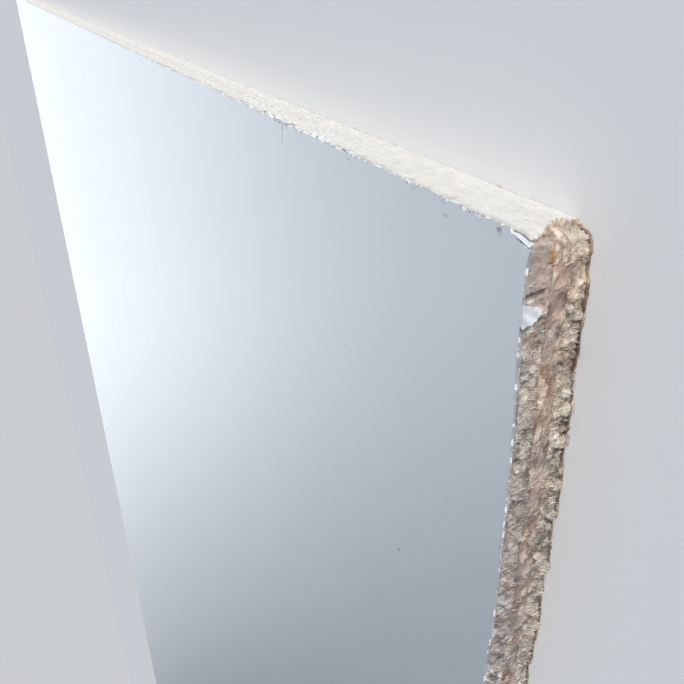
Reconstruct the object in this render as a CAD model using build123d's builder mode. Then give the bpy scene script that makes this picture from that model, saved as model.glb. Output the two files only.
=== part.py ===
from build123d import *
import os

# A full sheet of five-ply plywood with a thin white laminate on its upper face, lying flat.
# +X runs along the sheet's length, +Y across its width and +Z up through its plies.
# The origin is the middle of the underside.

# Driving dimensions in millimetres
sheet_length = 2440.0
sheet_width = 1220.0
back_veneer_thickness = 0.5
crossband_thickness = 3.6
core_thickness = 3.4
face_veneer_thickness = 0.5
laminate_thickness = 0.4

# The corner at +X, -Y is worn round, and the laminate is worn back further than the wood below it
ply_corner_radius = 1.3
laminate_corner_radius = 1.6

# Chips in the laminate's edges near the worn corner, where the saw and later knocks broke it away.
# Each has its distance from the corner to the chip's middle, its length along the edge and its depth.
# The two long, shallow ones on the long edge are stretches that knocks have worn back.
short_edge_chips = [
    (3.6, 3.4, 0.5),
    (8.4, 1.2, 0.7),
    (15.5, 3.8, 0.4),
    (33.0, 3.0, 0.4),
    (56.8, 4.4, 0.4),
    (68.0, 3.0, 0.35),
    (86.0, 3.4, 0.6),
    (94.5, 5.0, 0.9),
    (101.0, 4.4, 0.8),
    (110.0, 3.2, 0.5),
    (213.0, 5.0, 0.7),
]
long_edge_chips = [
    (15.2, 27.0, 1.0),
    (44.0, 1.8, 0.3),
    (57.0, 2.4, 0.35),
    (87.0, 24.0, 0.9),
]

back_veneer_base = 0.0
lower_crossband_base = back_veneer_base + back_veneer_thickness
core_base = lower_crossband_base + crossband_thickness
upper_crossband_base = core_base + core_thickness
face_veneer_base = upper_crossband_base + crossband_thickness
laminate_base = face_veneer_base + face_veneer_thickness

worn_corner = Vector(sheet_length / 2, -sheet_width / 2)


def sheet_outline(corner_radius):
    """Draws the sheet's rectangle in the current sketch and rounds its worn corner."""
    outline = Rectangle(sheet_length, sheet_width)
    corner = outline.vertices().sort_by_distance((worn_corner.X, worn_corner.Y, 0))[0]
    fillet(corner, corner_radius)


def chip_outline(place, length, depth):
    """Returns one shell-shaped chip. Its x runs along the sheet's edge, and its y points into the sheet."""
    start = (place - length / 2, 0)
    end = (place + length / 2, 0)
    with BuildSketch() as chip:
        with BuildLine():
            ThreePointArc(start, (place, depth), end)
            Line(end, start)
        make_face()
    return chip.sketch


with BuildPart() as back_veneer:
    with BuildSketch(Plane.XY.offset(back_veneer_base)):
        sheet_outline(ply_corner_radius)
    extrude(amount=back_veneer_thickness)

with BuildPart() as lower_crossband:
    with BuildSketch(Plane.XY.offset(lower_crossband_base)):
        sheet_outline(ply_corner_radius)
    extrude(amount=crossband_thickness)

with BuildPart() as core_ply:
    with BuildSketch(Plane.XY.offset(core_base)):
        sheet_outline(ply_corner_radius)
    extrude(amount=core_thickness)

with BuildPart() as upper_crossband:
    with BuildSketch(Plane.XY.offset(upper_crossband_base)):
        sheet_outline(ply_corner_radius)
    extrude(amount=crossband_thickness)

with BuildPart() as face_veneer:
    with BuildSketch(Plane.XY.offset(face_veneer_base)):
        sheet_outline(ply_corner_radius)
    extrude(amount=face_veneer_thickness)

# Seen from the worn corner, the short edge runs towards +Y and the long edge towards -X.
short_edge = Plane(origin=worn_corner, x_dir=(0, 1, 0))
long_edge = Plane(origin=worn_corner, x_dir=(1, 0, 0))

with BuildPart() as white_laminate:
    with BuildSketch(Plane.XY.offset(laminate_base)):
        sheet_outline(laminate_corner_radius)
        with Locations(short_edge):
            for distance, length, depth in short_edge_chips:
                add(chip_outline(distance, length, depth), mode=Mode.SUBTRACT)
        with Locations(long_edge):
            for distance, length, depth in long_edge_chips:
                add(chip_outline(-distance, length, depth), mode=Mode.SUBTRACT)
    extrude(amount=laminate_thickness)

back_veneer.part.label = "back_veneer"
lower_crossband.part.label = "lower_crossband"
core_ply.part.label = "core_ply"
upper_crossband.part.label = "upper_crossband"
face_veneer.part.label = "face_veneer"
white_laminate.part.label = "white_laminate"

os.makedirs("parts", exist_ok=True)
export_step(back_veneer.part, "parts/back_veneer.step")
export_step(lower_crossband.part, "parts/lower_crossband.step")
export_step(core_ply.part, "parts/core_ply.step")
export_step(upper_crossband.part, "parts/upper_crossband.step")
export_step(face_veneer.part, "parts/face_veneer.step")
export_step(white_laminate.part, "parts/white_laminate.step")
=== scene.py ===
# %% [markdown]
# # A laminated plywood sheet, lying flat
# The sheet is five wood plies, glued with their grain crossed, under a thin white laminate.
# A saw left its edges torn: ply by ply they show cut fibres, loose tufts and a chipped line of laminate.
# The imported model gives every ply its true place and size. This lesson dresses those solids: it rebuilds
# each ply's edge as a rough surface, grows loose fibres on it, and breaks the laminate's rim.

# %% Load the frame
import math

import bpy
import numpy as np
from mathutils import Matrix, Vector


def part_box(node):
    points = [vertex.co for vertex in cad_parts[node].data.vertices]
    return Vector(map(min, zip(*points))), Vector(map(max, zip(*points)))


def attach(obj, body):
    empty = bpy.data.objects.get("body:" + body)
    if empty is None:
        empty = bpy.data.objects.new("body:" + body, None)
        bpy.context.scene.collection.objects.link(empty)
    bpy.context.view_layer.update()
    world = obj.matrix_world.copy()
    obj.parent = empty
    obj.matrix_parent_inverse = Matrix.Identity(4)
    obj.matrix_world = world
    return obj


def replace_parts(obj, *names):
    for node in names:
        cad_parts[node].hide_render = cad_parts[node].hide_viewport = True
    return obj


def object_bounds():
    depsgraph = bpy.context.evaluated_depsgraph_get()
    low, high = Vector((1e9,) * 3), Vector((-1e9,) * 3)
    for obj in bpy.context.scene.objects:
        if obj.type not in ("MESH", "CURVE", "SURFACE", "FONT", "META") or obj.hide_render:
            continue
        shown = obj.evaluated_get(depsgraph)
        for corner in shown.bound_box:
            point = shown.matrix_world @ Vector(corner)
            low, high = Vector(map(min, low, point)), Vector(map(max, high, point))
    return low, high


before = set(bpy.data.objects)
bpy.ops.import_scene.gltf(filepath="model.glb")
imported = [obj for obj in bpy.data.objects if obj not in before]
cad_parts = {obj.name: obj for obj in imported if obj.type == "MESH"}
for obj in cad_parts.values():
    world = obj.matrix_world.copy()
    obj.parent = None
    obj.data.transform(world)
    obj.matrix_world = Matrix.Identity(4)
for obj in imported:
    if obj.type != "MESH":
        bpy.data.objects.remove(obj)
cad_low, cad_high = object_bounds()
mm = 0.001
half_length, half_width = cad_high.x / mm, cad_high.y / mm
worn_corner = Vector((cad_high.x, cad_low.y, cad_high.z))
print("the sheet measures", [round(side, 4) for side in cad_high - cad_low], "m")

# %% [markdown]
# The photograph is a close view along the sheet, with the worn corner right of the middle. Its camera
# looks down on the white face at about 21 degrees, and it is turned so that the sheet's length runs up
# the picture. A camera is a place, a direction to look in and a direction that is up in the picture.
# The place is measured from the worn corner, so it follows the sheet if its size changes.

# %% Place the camera
focal_length, sensor_width = 38.42, 36.0
camera_from_corner = Vector((34.2, -75.85, 63.5)) * mm
looking_along = Vector((-0.4606, 0.8093, -0.3647)).normalized()
picture_up = Vector((0.8874, 0.4102, -0.2104))

camera_data = bpy.data.cameras.new("camera")
camera_data.lens = focal_length
camera_data.sensor_width = sensor_width
camera_data.clip_start = 5 * mm
camera_data.clip_end = 100.0
camera = bpy.data.objects.new("camera", camera_data)
picture_right = looking_along.cross(picture_up).normalized()
picture_up = picture_right.cross(looking_along)
turn = Matrix((picture_right, picture_up, -looking_along)).transposed().to_4x4()
camera.matrix_world = Matrix.Translation(worn_corner + camera_from_corner) @ turn
bpy.context.scene.collection.objects.link(camera)
bpy.context.scene.camera = camera
print("the camera stands", round(camera_from_corner.length / mm), "mm from the worn corner")

# %% [markdown]
# Node trees are long when each node takes several lines. Here a node's output is wrapped as a Value, and
# + - * / between Values add Math nodes, so that a tree reads like a formula. A new node goes into the
# tree that its Values belong to.

# %% Values for formulas
class Value:
    """A node's output, for use in a formula. A vector goes with vectors, and a number with numbers."""

    def __init__(self, socket):
        self.socket, self.tree = socket, socket.id_data

    def __getitem__(self, axis):
        return output("ShaderNodeSeparateXYZ", self, title=axis)

    def __add__(self, other):
        return maths("ADD", self, other)

    def __sub__(self, other):
        return maths("SUBTRACT", self, other)

    def __rsub__(self, other):
        return maths("SUBTRACT", other, self)

    def __mul__(self, other):
        return maths("MULTIPLY", self, other)

    def __truediv__(self, other):
        return maths("DIVIDE", self, other)

    __radd__, __rmul__ = __add__, __mul__


def fill(socket, value):
    """Links a Value to an input, or sets a plain value there. A colour needs only its three numbers."""
    if isinstance(value, Value):
        value.tree.links.new(value.socket, socket)
    elif value is not None:
        socket.default_value = (*value, 1.0) if socket.type == "RGBA" else value


def output(kind, *values, tree=None, title=0, **settings):
    """Adds a node and gives its first output, or the one with a title. Values fill its inputs in order, and
    None leaves one as it is."""
    tree = tree or next(value.tree for value in values if isinstance(value, Value))
    made = tree.nodes.new(kind)
    for name, value in settings.items():
        setattr(made, name, value)
    for socket, value in zip(made.inputs, values):
        fill(socket, value)
    return Value(made.outputs[title])


def maths(operation, *values, **settings):
    """A Math node, or a Vector Math node for vectors."""
    first = next(value for value in values if isinstance(value, Value))
    kind = "ShaderNodeVectorMath" if first.socket.type == "VECTOR" else "ShaderNodeMath"
    return output(kind, *values, operation=operation, **settings)


print("formulas ready")

# %% [markdown]
# The next helpers stand for one kind of node each. Most patterns here are noise or cells, spread to the
# range that is wanted and used to blend two values, so these few are enough for every tree.

# %% Node helpers
def scaled(vector, factor):
    """A vector or colour times a number."""
    return output("ShaderNodeVectorMath", vector, None, None, factor, operation="SCALE")


def measured(operation, *vectors):
    """A number from vectors: LENGTH, or DOT_PRODUCT for how far one reaches along another."""
    return output("ShaderNodeVectorMath", *vectors, title="Value", operation=operation)


def combined(tree, x, y, z):
    """A vector from its three numbers."""
    return output("ShaderNodeCombineXYZ", x, y, z, tree=tree)


def spread(value, low, high, to_low=0.0, to_high=1.0):
    """Moves a value from one range to another, smoothly, and stops at both ends."""
    return output("ShaderNodeMapRange", value, low, high, to_low, to_high, interpolation_type="SMOOTHSTEP")


def noise(vector, scale, detail=2.0, roughness=0.5):
    """Cloudy noise from 0 to 1."""
    return output("ShaderNodeTexNoise", vector, None, scale, detail, roughness)


def cells(vector, scale=1.0):
    """A pattern of cells: the distance from a cell's middle, a random colour for each, and its middle."""
    pattern = output("ShaderNodeTexVoronoi", vector, None, scale).socket.node
    return [Value(pattern.outputs[title]) for title in ("Distance", "Color", "Position")]


def blend(kind, factor, first, second, way="MIX"):
    """Mixes two numbers, vectors or colours. A Mix node keeps a pair of inputs for each of these kinds."""
    number = ("FLOAT", "VECTOR", "RGBA").index(kind)
    values = factor, *(None,) * (1 + 2 * number), first, second
    return output("ShaderNodeMix", *values, title=number, data_type=kind, blend_type=way)


def blend_colours(factor, first, second, way="MIX"):
    return blend("RGBA", factor, first, second, way)


def blend_values(factor, first, second):
    return blend("FLOAT", factor, first, second)


def tinted(colour, tint):
    """A colour times another."""
    return blend_colours(1.0, colour, tint, "MULTIPLY")


def new_tree(name, kind, inputs, outputs):
    """Starts a node group with named inputs and outputs. An input is written as its plain value, or as its
    kind where it has none."""
    tree = bpy.data.node_groups.new(name, kind)
    kinds = {float: "Float", int: "Int", tuple: "Vector"}
    for in_out, sockets in (("INPUT", inputs), ("OUTPUT", outputs)):
        for title, value in sockets.items():
            socket_type = "NodeSocket" + kinds.get(type(value), str(value))
            socket = tree.interface.new_socket(title, in_out=in_out, socket_type=socket_type)
            if type(value) in kinds:
                socket.default_value = value
    given = {socket.name: Value(socket) for socket in tree.nodes.new("NodeGroupInput").outputs}
    return tree, given, tree.nodes.new("NodeGroupOutput").inputs


print("node helpers ready")

# %% [markdown]
# Every material starts from the Principled BSDF. Patterns are laid out in the sheet's own millimetres, so
# a number in a material is a size on the real sheet, and no pattern needs unwrapping.

# %% Helpers for materials
def principled(name, roughness, specular=0.25):
    """A new material with its Principled BSDF."""
    material = bpy.data.materials.new(name)
    material.use_nodes = True
    surface = material.node_tree.nodes["Principled BSDF"]
    surface.inputs["Roughness"].default_value = roughness
    surface.inputs["Specular IOR Level"].default_value = specular
    return material, material.node_tree, surface


def bump_from(surface, height, strength, distance):
    """Turns a height into the surface's normal."""
    bump = output("ShaderNodeBump", strength, distance * mm, tree=height.tree)
    fill(bump.socket.node.inputs["Height"], height)
    fill(surface.inputs["Normal"], bump)


def object_in_mm(tree):
    """A material's Object coordinates, in millimetres."""
    return scaled(output("ShaderNodeTexCoord", tree=tree, title="Object"), 1 / mm)


def painted(tree, name):
    """A number that a tree stored on the mesh, as a material reads it."""
    return output("ShaderNodeAttribute", tree=tree, title="Fac", attribute_name=name)


print("helpers for materials ready")

# %% [markdown]
# Materials come first here, because each Geometry Nodes tree below ends by setting one.
# Raw wood on a sawn edge is a mix: pale tufts, darker pits between them, brown streaks of dust. The pits are
# darker with painted shade, and the tufts are pale partly in their own colour and partly as painted
# highlight.
# The short edge is fresh and pale, with a greyer, patchy line where the laminate was glued on, which is
# partly glue and partly painted shadow of the laminate's rim. The long edge is older and browner, with
# painted shade that deepens away from the worn corner and near the lower arris, and further down it short
# tufts in rows are painted as highlight and shadow. One node group paints both, and it reads what the trees
# below will store on
# the mesh: how worn a place is, how deep it lies and random numbers for the tuft and the clump that it is
# part of.

# %% Group for raw sawn wood
brown_spot = (half_length - 3.4, -half_width, 7.5)
tuft_slant = math.radians(-16)


def raw_wood_group():
    """Colour and height of a sawn edge. Lengths are in mm."""
    tree, given, result = new_tree("raw_sawn_wood", "ShaderNodeTree", {
        "Clean Colour": "Color", "Old Colour": "Color", "Pit Colour": "Color", "Tuft Colour": "Color",
        "Streaks": (1.0, 1.0, 1.0), "Streak Strength": 0.3, "Pores": 0.2, "Short Tufts": 0.0,
    }, {"Colour": "Color", "Height": "Float"})
    facts = ("torn", "worn", "tuft", "clump", "threads")
    torn, worn, tuft, clump, threads = [painted(tree, name) for name in facts]
    in_mm = object_in_mm(tree)
    streaks = noise(in_mm * given["Streaks"], 1.0, 4.0, 0.6)
    patches = noise(in_mm, 0.3, 3.0, 0.6)
    speckle = noise(in_mm, 5.0, 2.0, 0.7)
    height_above = in_mm["Z"]
    down = half_length - in_mm["X"]
    # Painted shade sets in with distance from the worn corner, fully at 50 mm.
    far_shade = spread(down, 2.0, 50.0)

    # The long edge's old wood: painted shade in the pits, paler tufts, a pink or green cast, and painted
    # shade that deepens further down
    # Painted shade: the pits, low on the torn surface, take a darker colour.
    old = blend_colours(spread(torn, 0.04, 0.5), given["Pit Colour"], given["Old Colour"])
    # Raised tufts are paler, partly in their own colour and partly as painted highlight.
    old = blend_colours(spread(tuft, 0.3, 0.75, 0.0, 0.95), old, given["Tuft Colour"])
    hue = blend_values(0.55, spread(noise(in_mm, 0.21, 1.0), 0.4, 0.62), clump)
    old = tinted(old, blend_colours(hue, (1.08, 0.96, 0.88), (0.935, 0.985, 1.02)))
    # Painted shade: the old wood darkens and cools with distance from the worn corner.
    far_shade_tint = blend_colours(far_shade, (1.0, 1.0, 1.0), (0.73, 0.74, 0.76))
    old = tinted(old, blend_colours(spread(down, 45.0, 95.0), far_shade_tint, (0.72, 0.775, 0.85)))
    # Painted shade within 3 mm of the lower arris, growing with distance from the corner.
    low_shade = spread(height_above, 3.0, 0.4) * far_shade
    old = scaled(old, spread(low_shade, 0.0, 1.0, 1.0, 0.8))
    from_spot = measured("LENGTH", (in_mm - brown_spot) * (0.8, 0.5, 1.6))
    old = blend_colours(spread(from_spot, 1.3, 0.5, 0.0, 0.9), old, (0.60, 0.33, 0.13))
    old = blend_colours(spread(down, 2.2, 0.4), old, tinted(old, (0.84, 0.80, 0.76)))
    front = spread(height_above, 7.4, 9.0) * spread(down, 10.5, 7.5)
    old = blend_colours(front, old, tinted(old, (0.90, 0.84, 0.82)))

    # The short edge's fresh wood: painted shade in the furrows, pores, stains, and the glue line with painted
    # shadow
    # Painted shade: the furrows' low parts take a colour between the fresh and the old wood.
    fresh_pit_shade = blend_colours(0.35, given["Clean Colour"], given["Old Colour"])
    fresh = blend_colours(spread(torn, 0.0, 0.5), fresh_pit_shade, given["Clean Colour"])
    pore = spread(cells(in_mm, 2.6)[0], 0.34, 0.1) * given["Pores"]
    fresh = blend_colours(pore, fresh, given["Old Colour"])
    stain = spread(noise(in_mm * (0.5, 0.11, 0.28), 1.0, 3.0, 0.6), 0.6, 0.78, 0.0, 0.5)
    fresh = blend_colours(stain, fresh, (0.80, 0.66, 0.52))
    # A patchy darker band under the laminate: the glue line, and painted shadow of the laminate's rim.
    glue_and_shadow_height = height_above + (noise(in_mm * (0.4, 0.28, 0.4), 1.0) - 0.5) * 5.0
    fresh = scaled(fresh, spread(glue_and_shadow_height, 9.9, 11.9, 1.0, 0.74))

    # A brown margin where the two meet, then lighter and darker tones over both, and painted tufts further
    # down
    colour = blend_colours(worn, fresh, old)
    colour = blend_colours(worn * (1.0 - worn) * 2.6, colour, (0.56, 0.40, 0.25))
    shade = (streaks - 0.5) * given["Streak Strength"] + (patches - 0.5) * 1.3 + (speckle - 0.5) * 0.45
    shade = shade + ((clump - 0.5) * 0.34 + (threads - 0.5) * 0.9) * worn
    mottled = blend_values(spread(down, 26.0, 31.0), spread(down, 8.0, 14.0, 0.85, 1.15), 1.6)
    mottled = blend_values(spread(down, 51.0, 58.0), mottled, 0.9)
    far_down = spread(down, 48.0, 68.0) * given["Short Tufts"]
    shade = shade * (mottled * spread(far_down, 0.0, 1.0, 1.0, 0.62))
    # Short tufts in rows are only painted: a pale middle as painted highlight and a dark rim as painted
    # shadow.
    slanted = output("ShaderNodeVectorRotate", in_mm, None, None, tuft_slant, rotation_type="Y_AXIS")
    short_tufts = spread(cells(slanted * (0.95, 0.3, 0.5))[0], 0.2, 0.78, 0.36, -0.3)
    shade = shade + short_tufts * far_down * worn
    chattered = spread(in_mm["Y"] + half_width, 38.0, 110.0) * (1.0 - worn)
    shade = shade + (noise(in_mm, 1.1, 2.0, 0.7) - 0.5) * (chattered * 4.5)
    fill(result["Colour"], scaled(colour, 1.0 + shade * blend_values(worn, 0.3, 1.0)))
    fill(result["Height"], streaks * 0.6 + speckle * 0.4)
    return tree


raw_wood = raw_wood_group()
print("raw_sawn_wood has", len(raw_wood.nodes), "nodes")

# %% [markdown]
# Every ply was a sheet of veneer of its own, so each gets its own colours. A ply whose grain runs along a
# cut edge shows long streaks there, and one whose grain meets the edge shows fine dots of end grain. The
# streaks' three numbers say how fast the pattern changes along x, y and z.

# %% Wood materials
def wood_material(name, **values):
    """Raw sawn wood in one ply's colours. The group's input Old Colour is given as old_colour."""
    material, tree, surface = principled(name, roughness=0.85)
    wood = output("ShaderNodeGroup", tree=tree, node_tree=raw_wood, title="Colour")
    for title, value in values.items():
        fill(wood.socket.node.inputs[title.replace("_", " ").title()], value)
    fill(surface.inputs["Base Color"], wood)
    bump_from(surface, Value(wood.socket.node.outputs["Height"]), 0.5, 0.12)
    return material


pale_wood = (0.775, 0.755, 0.715)
cream = (0.82, 0.745, 0.635)
crossband = dict(clean_colour=pale_wood, streaks=(3.0, 0.12, 3.2), pores=0.05, short_tufts=1.0)
long_grained = dict(clean_colour=pale_wood, streaks=(0.3, 3.0, 3.0), streak_strength=0.4)
# In each ply's colours, the pit colour is painted shade in the pits, and the tuft colour is partly painted
# highlight on raised tufts.
ply_colours = {
    "back_veneer": dict(
        clean_colour=(0.73, 0.68, 0.62), old_colour=(0.40, 0.30, 0.235), pit_colour=(0.15, 0.10, 0.08),
        tuft_colour=cream, streaks=(0.4, 0.4, 5.0), streak_strength=0.5, pores=0.1),
    "lower_crossband": crossband | dict(
        old_colour=(0.62, 0.525, 0.44), pit_colour=(0.28, 0.215, 0.165), tuft_colour=cream,
        streak_strength=0.4),
    "core_ply": long_grained | dict(
        clean_colour=(0.755, 0.73, 0.69), old_colour=(0.55, 0.435, 0.365), pit_colour=(0.27, 0.19, 0.15),
        tuft_colour=(0.80, 0.70, 0.60), pores=0.5, short_tufts=0.35),
    "upper_crossband": crossband | dict(
        old_colour=(0.56, 0.485, 0.42), pit_colour=(0.27, 0.215, 0.185), tuft_colour=(0.76, 0.72, 0.66),
        streak_strength=0.35),
    "face_veneer": long_grained | dict(
        old_colour=(0.56, 0.53, 0.51), pit_colour=(0.28, 0.23, 0.21), tuft_colour=(0.78, 0.77, 0.76),
        pores=0.2, short_tufts=0.5),
}
ply_materials = {node: wood_material(node + "_wood", **colours) for node, colours in ply_colours.items()}
print(len(ply_materials), "wood materials")

# %% [markdown]
# A loose fibre is a thin curl of the same wood. Each one keeps a random shade, so some catch the light
# as cream threads and others stay brown. The underside is a sliced veneer face: long brown grain lines
# with short dark pores, and nothing of the sawn edge in it.

# %% Fibre and veneer face materials
def fibre_material(name, pale, brown):
    """One ply's loose fibres, from brown to pale by each fibre's own shade."""
    material, tree, surface = principled(name, roughness=0.7)
    aged = blend_colours(spread(painted(tree, "shade"), 0.1, 0.75), brown, pale)
    fill(surface.inputs["Base Color"], blend_colours(painted(tree, "worn"), pale_wood, aged))
    return material


def veneer_face_material():
    """The underside's brown veneer, with its grain along the sheet."""
    material, tree, surface = principled("veneer_face", roughness=0.6)
    in_mm = object_in_mm(tree)
    broad = noise(in_mm * (0.004, 0.05, 0.05), 1.0, 4.0, 0.6)
    lines = noise(in_mm * (0.012, 0.9, 0.9), 1.0, 3.0, 0.6)
    pores = cells(in_mm * (0.25, 2.4, 2.4))[0]
    colour = blend_colours(spread(broad, 0.35, 0.65), (0.20, 0.095, 0.065), (0.31, 0.165, 0.12))
    colour = blend_colours(spread(lines, 0.45, 0.7, 0.0, 0.5), colour, (0.15, 0.075, 0.05))
    colour = blend_colours(spread(pores, 0.25, 0.05, 0.0, 0.7), colour, (0.09, 0.045, 0.03))
    fill(surface.inputs["Base Color"], colour)
    bump_from(surface, lines, 0.3, 0.05)
    return material


fibre_colours = {
    "back_veneer": ((0.80, 0.70, 0.58), (0.36, 0.25, 0.19)),
    "lower_crossband": ((0.86, 0.79, 0.68), (0.50, 0.40, 0.31)),
    "core_ply": ((0.80, 0.69, 0.59), (0.44, 0.32, 0.25)),
    "upper_crossband": ((0.80, 0.75, 0.68), (0.44, 0.36, 0.30)),
    "face_veneer": ((0.84, 0.82, 0.80), (0.48, 0.42, 0.38)),
}
fibre_materials = {node: fibre_material(node + "_fibre", *colours) for node, colours in fibre_colours.items()}
veneer_face = veneer_face_material()
print(len(fibre_materials), "fibre materials and the veneer face")

# %% [markdown]
# A sheet's edge is 7.3 m long, and the photograph looks at its fibres from a hand's breadth away.
# One even mesh would need tens of millions of faces. The edge is divided into stations instead: they lie
# an eighth of a millimetre apart at the worn corner and drift apart with distance, as the picture's
# own resolution does.

# %% Stations along the edge
sheet_length, sheet_width = 2 * half_length, 2 * half_width


def stepped(first_step, growth, fine_reach, coarse_growth=1.15, coarse_step=8.0):
    """Distances in mm from the worn corner to the opposite corner, in steps that grow."""
    distances, reach, step = [], first_step, first_step
    while reach < sheet_length + sheet_width - coarse_step:
        distances.append(reach)
        step = first_step + growth * reach if reach < fine_reach else min(step * coarse_growth, coarse_step)
        reach += step
    return distances


def stations(first_step, short_growth, long_growth, short_reach=420.0, long_reach=100.0):
    """Signed distances from the worn corner: along the short edge they are positive, along the long
    edge negative. The other three corners are always stations."""
    ahead = stepped(first_step, short_growth, short_reach) + [sheet_width, sheet_length + sheet_width]
    behind = stepped(first_step, long_growth, long_reach) + [sheet_length]
    return np.array(sorted([-distance for distance in behind] + [0.0] + ahead))


def outline(runs, corner_radius, fan_radius=0.0):
    """Gives each station's place on the sheet's outline in mm, and the way out of the sheet there. Nearer to
    the worn corner than fan_radius the ways out spread like a fan, so nothing pushed in folds over."""
    places, ways_out = np.zeros((2, len(runs), 2))
    for i, run in enumerate(runs):
        distance = abs(run)
        if distance < corner_radius:
            angle = math.radians(45) * (run / corner_radius - 1)
            ways_out[i] = math.cos(angle), math.sin(angle)
            centre = half_length - corner_radius, corner_radius - half_width
            places[i] = centre + corner_radius * ways_out[i]
        elif run > 0:
            along, beyond = min(distance, sheet_width), max(0.0, distance - sheet_width)
            places[i] = half_length - beyond, along - half_width
            ways_out[i] = distance <= sheet_width, distance >= sheet_width
        else:
            along, beyond = min(distance, sheet_length), max(0.0, distance - sheet_length)
            places[i] = half_length - along, beyond - half_width
            ways_out[i] = -float(distance >= sheet_length), -float(distance <= sheet_length)
    ways_out[-1] = -1, 1
    near = np.abs(runs) < fan_radius
    spokes = places[near] - (half_length - fan_radius, fan_radius - half_width)
    ways_out[near] = spokes / np.linalg.norm(spokes, axis=1)[:, None]
    return places, ways_out


edge_runs = stations(0.13, 0.0028, 0.0008)
print(len(edge_runs), "stations, the closest", round(float(np.diff(edge_runs).min()), 3), "mm apart")

# %% [markdown]
# The pieces are plain meshes that are built from points in mm, in the sheet's own place, with each object
# at the origin. A mesh can carry facts on its points, which the trees and materials read by their names.

# %% Helpers for meshes
def mesh_in_mm(name, vertices, faces=()):
    """A mesh from points in mm."""
    mesh = bpy.data.meshes.new(name)
    mesh.from_pydata([[mm * value for value in vertex] for vertex in vertices], [], faces)
    return mesh


def keep(mesh, name, values):
    """Stores a number, or a vector, on each of a mesh's vertices."""
    data_type, field = ("FLOAT_VECTOR", "vector") if values.ndim == 2 else ("FLOAT", "value")
    mesh.attributes.new(name, data_type, "POINT").data.foreach_set(field, values.ravel())


def triangles(mesh):
    """Counts a mesh's triangles."""
    return sum(len(polygon.vertices) - 2 for polygon in mesh.polygons)


def place_piece(name, mesh):
    """Puts a mesh in the scene as a piece with its object at the origin."""
    mesh.name = name
    piece = bpy.data.objects.new(name, mesh)
    bpy.context.scene.collection.objects.link(piece)
    print(name, "has", triangles(mesh), "triangles")
    return piece


print("helpers for meshes ready")

# %% [markdown]
# Each ply becomes a closed shell: a wall with a row of vertices every sixth of a millimetre, and two flat
# caps. A cap first steps in by a few millimetres with every station kept, so that a deep chip in the rim
# folds nothing over, and then fans out to a ring of a few points that one face fills. The wall keeps
# three facts on its vertices: the way out of the sheet, the distance from the worn corner, and how far
# knocks have rounded it back there.

# %% Shell of one ply
cap_steps = ((3.0, 0.0), (14.0, 40.0))


def close_cap(rim, places, height, vertices, faces, upward):
    """Closes one side of a shell, in steps of (inset, spacing of the points kept). rim holds the vertices."""
    for inset, spacing in cap_steps:
        reach = np.array((half_length - inset, half_width - inset))
        ring, ring_places, nearest = [], [], []
        for place in places:
            inner = np.clip(place, -reach, reach)
            if not ring or np.abs(inner - ring_places[-1]).sum() > spacing:
                ring.append(len(vertices))
                ring_places.append(inner)
                vertices.append((*inner, height))
            nearest.append(ring[-1])
        for i in range(len(rim)):
            j = (i + 1) % len(rim)
            new_faces = [(rim[i], rim[j], nearest[i])]
            if nearest[i] != nearest[j]:
                new_faces.append((rim[j], nearest[j], nearest[i]))
            faces += new_faces if upward else [face[::-1] for face in new_faces]
        rim, places = ring, ring_places
    faces.append(tuple(rim) if upward else tuple(rim[::-1]))


def shell(name, runs, rows, corner_radius, fan_radius=0.0,
          rounding=lambda runs, height: np.zeros(len(runs))):
    """Makes a closed shell from rows of (height, inset) in mm, lowest first. An inset is one number, or one
    for each station. rounding gives what knocks took in mm for (runs, height)."""
    places, ways_out = outline(runs, corner_radius, fan_radius)
    count = len(runs)
    vertices, faces = [], []
    for height, inset in rows:
        ring = places - ways_out * np.broadcast_to(inset, count)[:, None]
        vertices += [(x, y, height) for x, y in ring]
    for row in range(0, (len(rows) - 1) * count, count):
        for i in range(count):
            j = (i + 1) % count
            faces.append((row + i, row + j, row + count + j, row + count + i))
    top = (len(rows) - 1) * count
    close_cap(list(range(count)), places, rows[0][0], vertices, faces, upward=False)
    close_cap(list(range(top, top + count)), places, rows[-1][0], vertices, faces, upward=True)
    mesh = mesh_in_mm(name, vertices, faces)
    ways_out = np.column_stack([ways_out, np.zeros(count)])
    facts = dict(way_out=[ways_out] * len(rows), run=[runs] * len(rows),
                 worn_back=[rounding(runs, height) for height, _ in rows])
    for title, on_rows in facts.items():
        on_caps = np.zeros((len(vertices) - len(rows) * count, *on_rows[0].shape[1:]))
        keep(mesh, title, np.concatenate([*on_rows, on_caps]))
    return mesh


print("shell ready, with caps in", len(cap_steps), "steps")

# %% [markdown]
# Near the worn corner both arrises of the long edge have been knocked back by about a millimetre. The
# photograph shows them as wandering lines, which measured points with straight runs between them give.
# Each fades out within the nearest plies, and what the two have in common goes right through. The corner
# itself is rounded more than its saw cut was, most of all at the back. The ways in fan out round a
# point behind it, so that a wall pushed back there closes up without crossing itself.

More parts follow.
